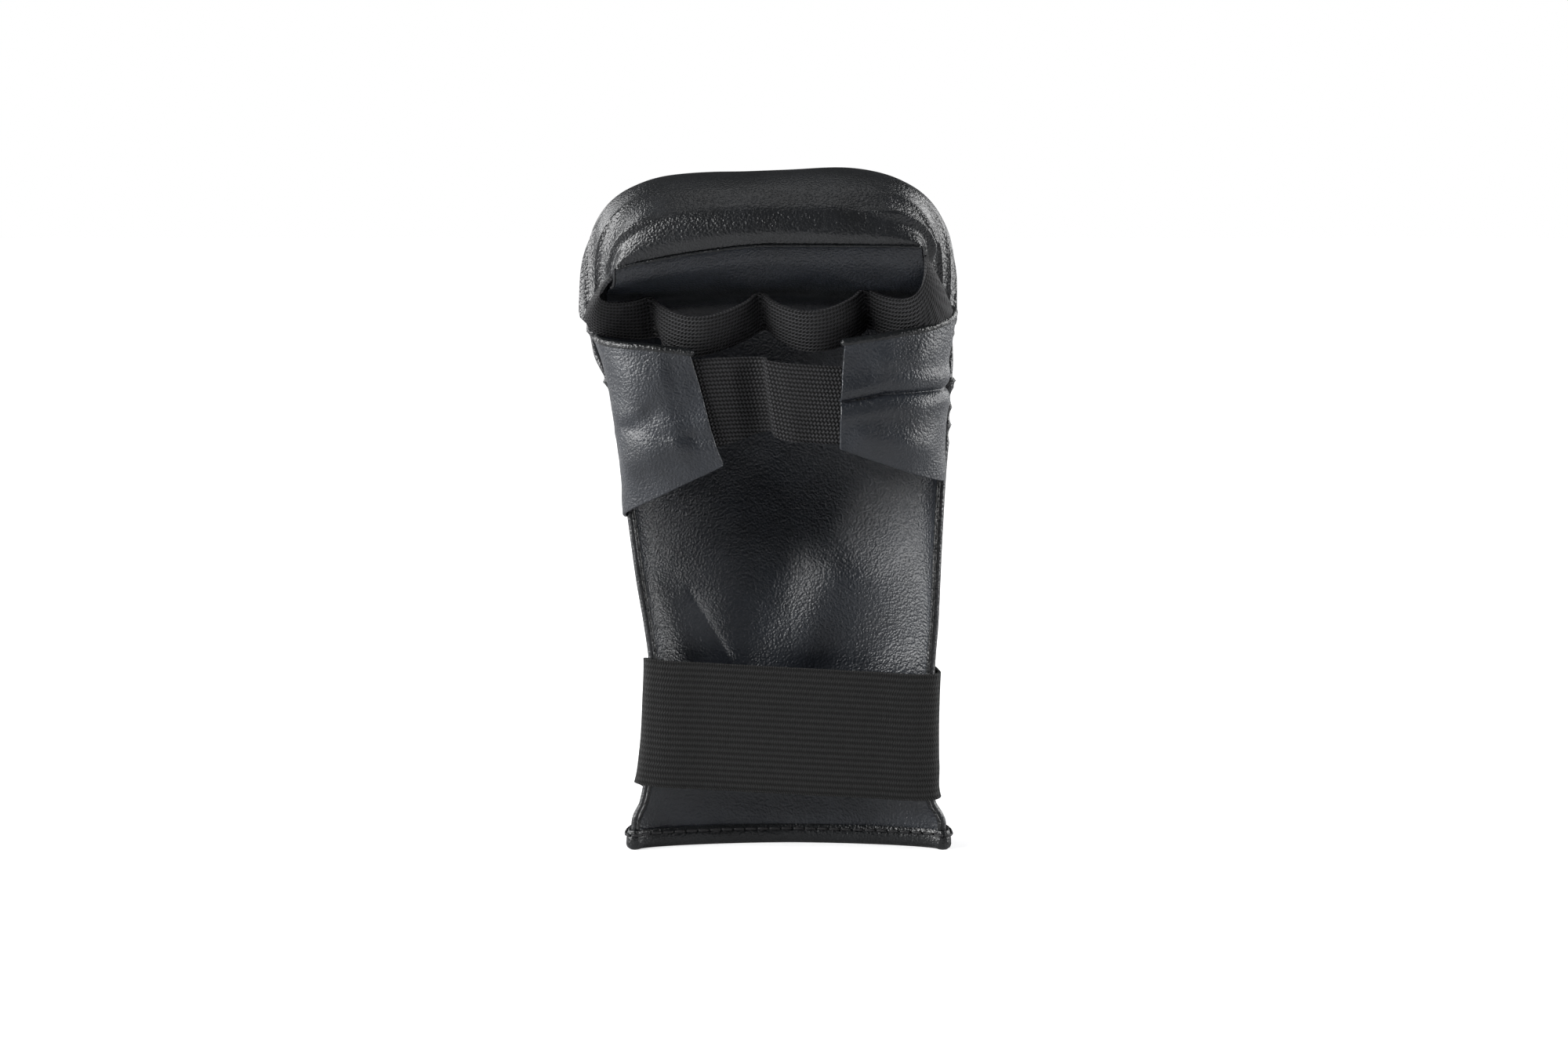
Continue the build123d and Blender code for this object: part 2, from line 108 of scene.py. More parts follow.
def bell(x, width):
    """1 at 0, and near 0 from about two widths away."""
    return np.exp(-((x / width) ** 2))


def spline(knots, values, at):
    """A smooth line through values at knots, read at each of at."""
    knots = np.asarray(knots, float)
    values = np.asarray(values, float)
    slopes = np.gradient(values, knots, axis=0)
    i = np.clip(np.searchsorted(knots, at, side="right") - 1, 0, len(knots) - 2)
    span = knots[i + 1] - knots[i]
    t = (at - knots[i]) / span
    shape = (-1,) + (1,) * (values.ndim - 1)
    t = t.reshape(shape)
    span = span.reshape(shape)
    start = 2 * t**3 - 3 * t**2 + 1
    leave = t**3 - 2 * t**2 + t
    arrive = t**3 - t**2
    return (
        start * values[i]
        + leave * span * slopes[i]
        + (1 - start) * values[i + 1]
        + arrive * span * slopes[i + 1]
    )


def lengths(points):
    """The distance along a line at each of its points."""
    steps = np.linalg.norm(np.diff(points, axis=0), axis=1)
    return np.concatenate([[0], np.cumsum(steps)])


def even(points, count):
    """The same line with its points evenly spaced."""
    along = lengths(points)
    at = np.linspace(0, along[-1], count)
    return np.column_stack([np.interp(at, along, points[:, k]) for k in range(points.shape[1])])


def line(points, count):
    """A smooth, evenly spaced line through a few points."""
    points = np.asarray(points, float)
    knots = lengths(points)
    return even(spline(knots, points, np.linspace(0, knots[-1], count * 4)), count)


def net(controls, rows, cols):
    """A smooth grid through a small net of control points."""
    controls = np.asarray(controls, float)
    down = spline(np.arange(len(controls)), controls, np.linspace(0, len(controls) - 1, rows))
    return np.array([line(row, cols) for row in down])


def normals(grid):
    along = np.gradient(grid, axis=0)
    across = np.gradient(grid, axis=1)
    n = np.cross(along, across)
    return n / np.maximum(np.linalg.norm(n, axis=2, keepdims=True), 1e-9)


def pushed(grid, amount):
    """The grid moved along its own normals."""
    return grid + normals(grid) * np.asarray(amount)[..., None]


def moved_by(grid, distance):
    """The grid moved along its normals by one distance."""
    return pushed(grid, np.full(grid.shape[:2], distance))


def rough(grid, wave, seed):
    """Smooth noise, about -1 to 1, with waves of that length in mm."""
    flat = grid.reshape(-1, 3) / wave
    shift = Vector((seed * 7.3, seed * 3.1, seed * 1.7))
    return np.array([noise.noise(Vector(p) + shift) for p in flat]).reshape(grid.shape[:2])


def level_table():
    """The level rows in the same form as the fist rows."""
    table = []
    for z, inner, outer, edge, left, right in LEVEL_ROWS:
        table.append((inner, z, outer, z, inner - edge, left, right, LEVEL_ROLL, LEVEL_FULLNESS))
    return np.array(table, float)


def fist_table():
    return np.array([(*a, *b, *rest) for a, b, *rest in FIST_ROWS], float)


def place(row, x, h):
    """Points of one cross-section: x across, h up from the side edges."""
    inner = row[0:2]
    up = row[2:4] - inner
    up = up / np.linalg.norm(up)
    base = inner - row[4] * up
    return np.column_stack([x, base[0] + h * up[0], base[1] + h * up[1]])


def cover_line(row, count):
    """The outside of one cross-section, from the left seam over the back to the right seam."""
    left, right, roll, fullness = row[5:9]
    height = np.linalg.norm(row[2:4] - row[0:2]) + row[4]
    turn = np.linspace(math.pi, 0, OUTLINE_POINTS)
    c, s = np.cos(turn), np.sin(turn)
    x = (left + right) / 2 + (right - left) / 2 * np.sign(c) * np.abs(c) ** (2 / fullness)
    h = height * np.abs(s) ** (2 / fullness)
    a = np.linspace(ROLL_TURN, math.pi, ROLL_POINTS)
    roll_x = roll + roll * np.cos(a)
    roll_h = roll * np.sin(a)
    x = np.concatenate([left + roll_x[:-1], x, (right - roll_x[:-1])[::-1]])
    h = np.concatenate([roll_h[:-1], h, roll_h[:-1][::-1]])
    return even(place(row, x, h), count)


def lining_line(row, count):
    """The palm side of one cross-section, from seam to seam."""
    left, right, roll = row[5:8]
    inset = roll * (1 + math.cos(ROLL_TURN)) + LINING_INSET
    low = -0.4 * roll
    turn = np.linspace(math.pi, 0, OUTLINE_POINTS)
    c, s = np.cos(turn), np.sin(turn)
    half = (right - left) / 2 - inset
    x = (left + right) / 2 + half * np.sign(c) * np.abs(c) ** (2 / LINING_FULLNESS)
    h = low + (row[4] - low) * np.abs(s) ** (2 / LINING_FULLNESS)
    return even(place(row, x, h), count)


TIP_DROP = 9.5
TIP_RISE = 1.7


def tip_droop(points):
    """The tip hangs lower on its left and stands a little higher on its right."""
    x, y, z = points[..., 0], points[..., 1], points[..., 2]
    left = np.clip((-8 - x) / 52, 0, 1) ** 1.4
    moved = points.copy()
    moved[..., 2] -= TIP_DROP * left * ramp(y, -30, -45) * ramp(z, 231, 213)
    moved[..., 2] += TIP_RISE * ramp(x, -25, 35) * ramp(z, 222, 236)
    return moved


def shell(table, rows, cols):
    """Cover grid, lining grid and the row numbers of a stretch of the padded shell."""
    at = np.linspace(0, len(table) - 1, rows)
    stations = spline(np.arange(len(table)), table, at)
    cover = np.array([cover_line(row, cols) for row in stations])
    lining = np.array([lining_line(row, cols) for row in stations])
    return cover, lining, at


def mesh_piece(name, verts, faces, material, uvs=None, sharp=50):
    """An object made of points in mm, smooth where its faces meet at less than the sharp angle."""
    mesh = bpy.data.meshes.new(name)
    mesh.from_pydata([tuple(v) for v in np.asarray(verts) * MM], [], faces)
    mesh.update()
    if uvs is not None:
        layer = mesh.uv_layers.new(name="UVMap")
        index = np.array([loop.vertex_index for loop in mesh.loops])
        layer.data.foreach_set("uv", (np.asarray(uvs)[index] * MM).astype(np.float32).ravel())
    bm = bmesh.new()
    bm.from_mesh(mesh)
    bmesh.ops.recalc_face_normals(bm, faces=bm.faces)
    bm.to_mesh(mesh)
    bm.free()
    mesh.shade_smooth()
    mesh.set_sharp_from_angle(angle=math.radians(sharp))
    mesh.materials.append(material)
    piece = bpy.data.objects.new(name, mesh)
    bpy.context.scene.collection.objects.link(piece)
    return piece


def flat_uv(grid):
    """Distances along and across a grid, in mm."""
    across = np.array([lengths(row) for row in grid])
    along = np.array([lengths(col) for col in grid.transpose(1, 0, 2)]).T
    return np.stack([across, along], axis=2)


def skin(name, front, back, material, sharp=50):
    """A closed piece between two grids of the same size."""
    rows, cols = front.shape[:2]
    size = rows * cols
    verts = np.concatenate([front.reshape(-1, 3), back.reshape(-1, 3)])
    uv = flat_uv(front).reshape(-1, 2)
    faces = []
    for i in range(rows - 1):
        for j in range(cols - 1):
            a = i * cols + j
            b, c, d = a + 1, a + cols + 1, a + cols
            faces.append((a, b, c, d))
            faces.append((size + a, size + d, size + c, size + b))
    for i in (0, rows - 1):
        for j in range(cols - 1):
            a = i * cols + j
            faces.append((a, size + a, size + a + 1, a + 1))
    for j in (0, cols - 1):
        for i in range(rows - 1):
            a = i * cols + j
            faces.append((a, a + cols, size + a + cols, size + a))
    return mesh_piece(name, verts, faces, material, np.concatenate([uv, uv]), sharp)


def slab(name, grid, thickness, material, bevel):
    """A strip or sheet with its face on the grid and its thickness behind it, or before it if negative."""
    piece = skin(name, grid, moved_by(grid, -thickness), material)
    round_edges(piece, bevel)
    return piece


def round_edges(piece, width):
    """Rounds the sharp edges of a piece; the width is in mm."""
    modifier = piece.modifiers.new("edge", "BEVEL")
    modifier.width = width * MM
    modifier.segments = 3
    modifier.limit_method = "ANGLE"
    modifier.angle_limit = math.radians(60)
    keep_shape(piece)


def keep_shape(piece):
    """Makes the modifiers' result the piece's own mesh."""
    depsgraph = bpy.context.evaluated_depsgraph_get()
    depsgraph.update()
    mesh = bpy.data.meshes.new_from_object(piece.evaluated_get(depsgraph))
    piece.modifiers.clear()
    old = piece.data
    piece.data = mesh
    mesh.name = piece.name
    bpy.data.meshes.remove(old)


def frames(path):
    """A tangent, side and up for each point of a line, turning as little as they can."""
    tangent = np.gradient(path, axis=0)
    tangent /= np.linalg.norm(tangent, axis=1, keepdims=True)
    side = np.cross(tangent[0], (0.31, 0.17, 0.93))
    sides = []
    for t in tangent:
        side = side - t * np.dot(side, t)
        side = side / np.linalg.norm(side)
        sides.append(side)
    sides = np.array(sides)
    return tangent, sides, np.cross(tangent, sides)


def tube_parts(path, radius, ring=10):
    """Vertices and faces of a closed tube with rounded ends."""
    path = np.asarray(path, float)
    tangent, side, up = frames(path)
    turn = np.linspace(0, 2 * math.pi, ring, endpoint=False)
    loops = []
    for t, scale in ((0.9, 0.35), (0.5, 0.8)):
        loops.append((path[0] - tangent[0] * radius * t, radius * scale, side[0], up[0]))
    for k in range(len(path)):
        loops.append((path[k], radius, side[k], up[k]))
    for t, scale in ((0.5, 0.8), (0.9, 0.35)):
        loops.append((path[-1] + tangent[-1] * radius * t, radius * scale, side[-1], up[-1]))
    verts = []
    for centre, r, s, u in loops:
        for a in turn:
            verts.append(centre + r * (math.cos(a) * s + math.sin(a) * u))
    faces = []
    for i in range(len(loops) - 1):
        for j in range(ring):
            k = (j + 1) % ring
            faces.append((i * ring + j, i * ring + k, (i + 1) * ring + k, (i + 1) * ring + j))
    faces.append(tuple(range(ring))[::-1])
    faces.append(tuple((len(loops) - 1) * ring + j for j in range(ring)))
    return verts, faces


def tubes(name, paths, radius, material, ring=10):
    """One piece made of several closed tubes."""
    verts, faces = [], []
    for path in paths:
        v, f = tube_parts(path, radius, ring)
        faces += [tuple(i + len(verts) for i in face) for face in f]
        verts += v
    return mesh_piece(name, verts, faces, material, sharp=180)


def stitch_paths(path, length, gap):
    """Short runs of thread along a line."""
    path = np.asarray(path, float)
    total = lengths(path)[-1]
    close = even(path, max(int(total * 4), 8))
    along = lengths(close)
    runs = []
    count = int((total - length) // (length + gap)) + 1
    for k in range(count):
        at = np.linspace(k * (length + gap), k * (length + gap) + length, 5)
        runs.append(np.column_stack([np.interp(at, along, close[:, c]) for c in range(3)]))
    return runs


# ---------------------------------------------------------------- materials


def new_material(name, colour, roughness, specular):
    """A material with the uniform values on its shader's own sockets."""
    material = bpy.data.materials.new(name)
    material.use_nodes = True
    nodes = material.node_tree.nodes
    shader = nodes["Principled BSDF"]
    shader.inputs["Base Color"].default_value = (*colour, 1)
    shader.inputs["Roughness"].default_value = roughness
    shader.inputs["Specular IOR Level"].default_value = specular
    return material, nodes, material.node_tree.links, shader


def add(nodes, kind, **values):
    """A new node, with values for its properties or its inputs."""
    node = nodes.new(kind)
    for key, value in values.items():
        if hasattr(node, key):
            setattr(node, key, value)
        else:
            node.inputs[key.replace("_", " ")].default_value = value
    return node


def math_node(nodes, links, operation, a, b=None):
    node = nodes.new("ShaderNodeMath")
    node.operation = operation
    for k, value in enumerate((a, b)):
        if value is None:
            continue
        if isinstance(value, (int, float)):
            node.inputs[k].default_value = value
        else:
            links.new(value, node.inputs[k])
    return node.outputs[0]


def mottle(nodes, links, vector, shader, dark, light, scale, low=0.35, high=0.65):
    """Colour that drifts between two close tones."""
    drift = add(nodes, "ShaderNodeTexNoise", Scale=scale, Detail=3.0)
    links.new(vector, drift.inputs["Vector"])
    ramp = nodes.new("ShaderNodeValToRGB")
    ramp.color_ramp.elements[0].position = low
    ramp.color_ramp.elements[0].color = (*dark, 1)
    ramp.color_ramp.elements[1].position = high
    ramp.color_ramp.elements[1].color = (*light, 1)
    links.new(drift.outputs["Fac"], ramp.inputs["Fac"])
    links.new(ramp.outputs["Color"], shader.inputs["Base Color"])


def bump(nodes, links, height, strength, distance, below=None):
    """Relief from a height, on top of the relief below it; the distance is in mm."""
    node = add(nodes, "ShaderNodeBump", Strength=strength, Distance=distance * MM)
    links.new(height, node.inputs["Height"])
    if below is not None:
        links.new(below, node.inputs["Normal"])
    return node.outputs["Normal"]


PEBBLES_PER_METRE = 1150.0
PEBBLE_WARP_PER_METRE = 700.0
PEBBLE_WARP = 0.0012
PORES_PER_METRE = 2600.0
RIPPLES_PER_METRE = 110.0
TONES_PER_METRE = 60.0


def leather(name, dark, light, roughness, specular=0.5):
    """Coated leather: fine pebbles, finer pores and soft shallow ripples."""
    material, nodes, links, shader = new_material(name, light, roughness, specular)
    vector = nodes.new("ShaderNodeTexCoord").outputs["Object"]
    mottle(nodes, links, vector, shader, dark, light, TONES_PER_METRE)
    warp = add(nodes, "ShaderNodeTexNoise", Scale=PEBBLE_WARP_PER_METRE, Detail=2.0)
    links.new(vector, warp.inputs["Vector"])
    mixed = add(nodes, "ShaderNodeMixRGB", Fac=PEBBLE_WARP)
    mixed.blend_type = "ADD"
    links.new(vector, mixed.inputs["Color1"])
    links.new(warp.outputs["Color"], mixed.inputs["Color2"])
    pebble = add(nodes, "ShaderNodeTexVoronoi", feature="SMOOTH_F1", Scale=PEBBLES_PER_METRE)
    pebble.inputs["Smoothness"].default_value = 0.35
    links.new(mixed.outputs["Color"], pebble.inputs["Vector"])
    pores = add(nodes, "ShaderNodeTexNoise", Scale=PORES_PER_METRE, Detail=2.0)
    links.new(vector, pores.inputs["Vector"])
    ripple = add(nodes, "ShaderNodeTexNoise", Scale=RIPPLES_PER_METRE, Detail=1.0)
    links.new(vector, ripple.inputs["Vector"])
    soft = bump(nodes, links, ripple.outputs["Fac"], 0.15, 0.35)
    cell = math_node(nodes, links, "MULTIPLY", pebble.outputs["Distance"], -1.0)
    pebbled = bump(nodes, links, cell, 0.85, 0.24, soft)
    porous = bump(nodes, links, pores.outputs["Fac"], 0.4, 0.1, pebbled)
    links.new(porous, shader.inputs["Normal"])
    return material


def knit(name, dark, light, roughness, pitch, wale, relief):
    """Woven elastic: courses along the strip at a pitch, broken into stitches a wale long, with painted shade
    in the grooves and a painted highlight on the crests; all in mm.
    """
    material, nodes, links, shader = new_material(name, light, roughness, 0.25)
    uv = nodes.new("ShaderNodeUVMap").outputs["UV"]
    split = nodes.new("ShaderNodeSeparateXYZ")
    links.new(uv, split.inputs[0])
    along = math_node(nodes, links, "MULTIPLY", split.outputs["X"], 2 * math.pi / (wale * MM))
    across = math_node(nodes, links, "MULTIPLY", split.outputs["Y"], 2 * math.pi / (pitch * MM))
    lean = math_node(nodes, links, "SINE", across)
    shifted = math_node(nodes, links, "ADD", along, math_node(nodes, links, "MULTIPLY", lean, 1.2))
    stitch = math_node(nodes, links, "SINE", shifted)
    course = math_node(nodes, links, "COSINE", across)
    weave = math_node(nodes, links, "ADD", math_node(nodes, links, "MULTIPLY", stitch, 0.8), course)
    fuzz = add(nodes, "ShaderNodeTexNoise", Scale=1800.0, Detail=3.0)
    links.new(uv, fuzz.inputs["Vector"])
    height = math_node(nodes, links, "ADD", weave, fuzz.outputs["Fac"])
    links.new(bump(nodes, links, height, 0.8, relief), shader.inputs["Normal"])
    # The colour follows the weave's height: painted shade in the grooves, painted highlight on the crests.
    tone = nodes.new("ShaderNodeValToRGB")
    tone.color_ramp.elements[0].position = 0.25
    tone.color_ramp.elements[0].color = (*dark, 1)
    tone.color_ramp.elements[1].position = 0.8
    tone.color_ramp.elements[1].color = (*light, 1)
    level = math_node(nodes, links, "MULTIPLY", math_node(nodes, links, "ADD", weave, 1.5), 1 / 3)
    links.new(level, tone.inputs["Fac"])
    links.new(tone.outputs["Color"], shader.inputs["Base Color"])
    return material


def thread_material(name, dark, light):
    """Twisted thread."""
    material, nodes, links, shader = new_material(name, light, 0.6, 0.4)
    vector = nodes.new("ShaderNodeTexCoord").outputs["Object"]
    mottle(nodes, links, vector, shader, dark, light, 900.0)
    twist = add(nodes, "ShaderNodeTexWave", Scale=900.0, Distortion=1.0)
    twist.bands_direction = "DIAGONAL"
    links.new(vector, twist.inputs["Vector"])
    links.new(bump(nodes, links, twist.outputs["Fac"], 0.5, 0.08), shader.inputs["Normal"])
    return material


def pile_material(name, dark, light):
    """Hook-and-loop tape: a dense short pile."""
    material, nodes, links, shader = new_material(name, light, 0.85, 0.2)
    vector = nodes.new("ShaderNodeTexCoord").outputs["Object"]
    mottle(nodes, links, vector, shader, dark, light, 1400.0, 0.4, 0.6)
    pile = add(nodes, "ShaderNodeTexVoronoi", Scale=1500.0)
    links.new(vector, pile.inputs["Vector"])
    links.new(bump(nodes, links, pile.outputs["Distance"], 0.9, 0.3), shader.inputs["Normal"])
    return material


# Each material: its name, its darker and its lighter tone, its roughness, and what its maker asks for.
COVER = leather("cover_leather", (0.006, 0.0066, 0.0076), (0.010, 0.011, 0.0128), 0.34, specular=0.6)
LINING_LEATHER = leather("lining_leather", (0.009, 0.011, 0.0148), (0.014, 0.017, 0.0225), 0.40, specular=0.6)
BINDING = leather("binding_leather", (0.005, 0.0055, 0.006), (0.008, 0.009, 0.010), 0.30)
# For the two elastics, the darker tone is painted shade in the weave's grooves and the lighter tone a painted
# highlight on its crests.
STRAP_KNIT = knit("strap_elastic", (0.003, 0.003, 0.003), (0.0155, 0.0155, 0.0155), 0.8, 2.1, 0.85, 0.12)
BAND_KNIT = knit("band_elastic", (0.0022, 0.0022, 0.0025), (0.034, 0.034, 0.036), 0.7, 1.45, 1.3, 0.2)
THREAD = thread_material("thread", (0.006, 0.006, 0.007), (0.014, 0.014, 0.015))
PILE = pile_material("hook_and_loop", (0.006, 0.006, 0.007), (0.016, 0.016, 0.017))


def fine(count):
    share = 1.0
    return max(int(count * share), 6)


# ---------------------------------------------------------------- padded shell

LEVELS = level_table()
FISTS = fist_table()
back_cover, palm_face, _ = shell(LEVELS, fine(150), fine(170))
fist_cover, fist_face, fist_at = shell(FISTS, fine(170), fine(170))
fist_cover = tip_droop(fist_cover)
fist_face = tip_droop(fist_face)


KNUCKLE_SEAM_Z = 168.0
SEAM_BEAD = 1.5
GUSSET_FOLD = 1.2
RIGHT_PLEATS = 6
LEFT_PLEATS = 4
PLEAT_END_ROW = 9.1
PLEAT_RIM_WIDTH = 0.3


def across_share(grid):
    """How far across the grid each point is, from 0 on the left to 1 on the right."""
    return np.array([lengths(row) / lengths(row)[-1] for row in grid])


def away_from_sides(u, margin):
    """1 inside a panel, and 0 at its two side edges."""
    return ramp(u, 0, margin) * ramp(u, 1, 1 - margin)


def back_details(grid):
    """Soft dents, the gusset's folds on the right, and the raised seam across the knuckles."""
    u = across_share(grid)
    z = grid[..., 2]
    depth = (rough(grid, 26, 1) * 0.7 + rough(grid, 11, 2) * 0.22) * away_from_sides(u, 0.06)
    folds = np.abs(np.sin(math.pi * (z - 146) / 6.5)) ** 0.7 - 0.6
    depth += GUSSET_FOLD * folds * ramp(u, 0.86, 0.96) * ramp(z, 144, 150)
    depth -= SEAM_BEAD * bell(z - KNUCKLE_SEAM_Z, 1.6)
    return pushed(grid, -depth)


def pleats(row, first, count, crowding):
    """Rounded hollows between narrow ridges, from a first row on, wider or narrower by the crowding."""
    share = np.clip((row - first) / 6.6, 0, 1)
    return np.abs(np.sin(math.pi * count * share**crowding)) ** 0.5 - 0.7


def pleat_rim(row, end, edge):
    """The raised rim where the pleats end, a little further along near the middle of the pad."""
    return bell(row - end - 0.5 * edge / 0.2, PLEAT_RIM_WIDTH)


def fist_details(grid, at):
    """Soft dents, and the pleats on the two sides; depth is how far in the cover is pushed."""
    u = across_share(grid)
    row = np.repeat(at[:, None], grid.shape[1], axis=1)
    soft = rough(grid, 30, 3) * 0.8 + rough(grid, 13, 4) * 0.2
    depth = soft * away_from_sides(u, 0.06) * ramp(row, 12, 10.8)
    right_depth = 3.6 + 1.2 * ramp(row, 7.2, 8.2)
    right_reach = ramp(u, 0.7, 0.92) * ramp(row, 2.0, 2.8) * ramp(row, PLEAT_END_ROW, PLEAT_END_ROW - 0.5)
    depth += right_depth * pleats(row, 2.4, RIGHT_PLEATS, 1.1) * right_reach
    right_rim = pleat_rim(row, PLEAT_END_ROW, 1 - u)
    depth -= 3.4 * right_rim * ramp(u, 0.74, 0.86) * ramp(u, 0.985, 0.945)
    left_end = PLEAT_END_ROW + 0.1
    left_reach = ramp(u, 0.3, 0.08) * ramp(row, 2.2, 3.0) * ramp(row, left_end, left_end - 0.5)
    depth += 4.4 * pleats(row, 2.6, LEFT_PLEATS, 1.2) * left_reach
    left_rim = pleat_rim(row, left_end, u)
    depth -= 2.6 * left_rim * ramp(u, 0.26, 0.14) * ramp(u, 0.015, 0.055)
    depth -= SEAM_BEAD * bell(row, 0.12)
    return pushed(grid, -depth)


back_cover = back_details(back_cover)
fist_cover = fist_details(fist_cover, fist_at)


def ridge(grid, start, end, height, width, sharp=False):
    """A raised crease in a panel between two (x, z) points, towards the palm."""
    p = np.stack([grid[..., 0], grid[..., 2]], axis=2)
    a, b = np.array(start, float), np.array(end, float)
    d = b - a
    size = np.linalg.norm(d)
    t = ((p - a) @ d) / size**2
    off = np.abs((p - a) @ np.array([-d[1], d[0]])) / size
    fade = smooth((t + 0.15) / 0.3) * smooth((1.15 - t) / 0.3)
    form = np.exp(-off / width) if sharp else bell(off, width)
    moved = grid.copy()
    moved[..., 1] -= height * form * fade
    return moved


def palm_details(grid):
    """The soft dents of the palm lining and its three clearest creases."""
    soft = rough(grid, 30, 5) * 1.0 + rough(grid, 12, 6) * 0.25
    grid = pushed(grid, soft * away_from_sides(across_share(grid), 0.08))
    grid = ridge(grid, (-9, 52), (18, 102), 2.4, 11)
    grid = ridge(grid, (-36, 92), (-21, 66), 1.3, 2.4, sharp=True)
    grid = ridge(grid, (-36, 62), (-50, 100), -1.2, 5)
    return grid


palm_face = palm_details(palm_face)


def pad(name, cover, face):
    """A stuffed piece: the cover outside, and the foam's own face just behind the lining."""
    return skin(name, cover, moved_by(face, LINING + PAD_GAP), COVER, sharp=75)


back_pad = pad("back_pad", back_cover, palm_face)
fist_pad = pad("fist_pad", fist_cover, fist_face)
palm_skin = skin("palm_lining_skin", palm_face, moved_by(palm_face, LINING), LINING_LEATHER)
fist_skin = skin("fist_lining_skin", fist_face, moved_by(fist_face, LINING), LINING_LEATHER)

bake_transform(back_pad)
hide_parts("cuff_cover", "cuff_foam", "hand_cover", "hand_foam")
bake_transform(palm_skin)
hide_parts("cuff_lining", "hand_lining")
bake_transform(fist_pad)
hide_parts("fist_cover", "fist_foam")
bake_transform(fist_skin)
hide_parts("fist_lining")

# ---------------------------------------------------------------- seams


WELT_RADIUS = 0.8
WELT_LOWEST_Z = 7
WELT_STITCH = 2.4
WELT_STITCH_GAP = 1.3
WELT_THREAD_RADIUS = 0.45
WELT_THREAD_OFFSET = np.array([0, -0.75, 0])
TIP_LINE_OFFSET = np.array([0, -0.5, -0.1])


def side_seam(name, column, node):
    """The welt along one side of the palm panel, with its stitches."""
    path = (palm_face[:, column] + back_cover[:, column]) / 2
    path = path[(path[:, 2] > WELT_LOWEST_Z)]
    verts, faces = tube_parts(even(path, fine(140)), WELT_RADIUS, 8)
    centre = even(path, 400) + WELT_THREAD_OFFSET
    for run in stitch_paths(centre, WELT_STITCH, WELT_STITCH_GAP):
        v, f = tube_parts(run, WELT_THREAD_RADIUS, 6)
        faces += [tuple(i + len(verts) for i in face) for face in f]
        verts += v
    piece = mesh_piece(name, verts, faces, BINDING, sharp=180)
    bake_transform(piece)
    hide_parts(f"cuff_{node}_seam", f"hand_{node}_seam")


side_seam("left_seam_welt", 0, "left")
side_seam("right_seam_welt", -1, "right")

seam_row = (fist_face[-1] + fist_cover[-1]) / 2
tip_line = even(seam_row[2:-2], fine(160)) + TIP_LINE_OFFSET
tip_seam = tubes("tip_seam_line", [tip_line], 0.5, BINDING, 8)
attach(tip_seam, "fist")
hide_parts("tip_seam")

# ---------------------------------------------------------------- elastics

# Where the finger elastic is held, and the middle of each loop: its top and bottom edge there.
FINGER_STOPS = (
    ((-61, -43.5, 208), (-68, -31, 200)),
    ((-48.5, -28, 199), (-45.5, -22, 184)),
    ((-10.5, -28, 200.5), (-8.5, -22, 187)),
    ((26, -28, 202), (27.5, -22, 187.5)),
    ((46.4, -43.5, 213.5), (56.3, -25, 193.5)),
)
FINGER_LOOPS = (
    ((-64.5, -38, 198.5), (-68.5, -25, 187)),
    ((-31, -38, 193), (-34, -31.5, 178.5)),
    ((7, -38.5, 195), (9, -32, 180.5)),
    ((41.5, -38, 200), (45, -31.5, 185.5)),
)
FINGER_TUCKS = (
    ((-59.5, -40, 209.5), (-66.5, -18, 200.5)),
    ((46, -40, 215.5), (54.8, -14, 195.5)),
)
ELASTIC_THICKNESS = 1.1
ELASTIC_ROUNDING = 0.3
TACK_SHARES = (0.06, 0.2, 0.34, 0.48, 0.62, 0.76, 0.9)
TACK_RADIUS = 0.4


def finger_edge(edge, per_loop):
    """One long edge of the finger elastic: it stands away in a loop between each two held points."""
    stops = np.array([stop[edge] for stop in FINGER_STOPS], float)
    swing = np.sin(math.pi * np.linspace(0, 1, per_loop, endpoint=False))[:, None] ** 0.85
    share = np.linspace(0, 1, per_loop, endpoint=False)[:, None]
    path = [FINGER_TUCKS[0][edge]]
    for a, b, loop in zip(stops, stops[1:], FINGER_LOOPS):
        bulge = np.array(loop[edge]) - (a + b) / 2
        path += list(a + (b - a) * share + bulge * swing)
    return np.array([*path, stops[-1], FINGER_TUCKS[1][edge]])


def strip(top, low, along, across, bulge):
    """A grid between two long edges, bulging a little between them."""
    knots = lengths((np.array(top) + np.array(low)) / 2)
    at = np.linspace(0, knots[-1], along)
    a, b = spline(knots, np.array(top, float), at), spline(knots, np.array(low, float), at)
    share = np.linspace(0, 1, across)[:, None, None]
    grid = a[None] * (1 - share) + b[None] * share
    return pushed(grid, bulge * np.sin(math.pi * np.linspace(0, 1, across))[:, None] * np.ones((1, along)))


finger_grid = strip(finger_edge(0, 10), finger_edge(1, 10), fine(280), fine(26), 0.5)
finger_band = slab("finger_band", finger_grid, ELASTIC_THICKNESS, BAND_KNIT, ELASTIC_ROUNDING)
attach(finger_band, "fist")
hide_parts("finger_elastic")


def tack_stitches():
    """Slanting stitches across the finger elastic at each of its three held points."""
    paths = []
    for stop in FINGER_STOPS[1:4]:
        top, low = np.array(stop, float)
        for share in TACK_SHARES:
            middle = top * (1 - share) + low * share + np.array([0, -0.5, 0])
            left = middle + (-1.6, 0.6, 0.5)
            right = middle + (1.6, 0.6, -0.5)
            paths.append(line([left, middle + (0, -0.1, 0), right], 6))
    return paths


finger_tacks = tubes("finger_band_tacks", tack_stitches(), TACK_RADIUS, THREAD, 6)
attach(finger_tacks, "fist")
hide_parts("finger_tacks")

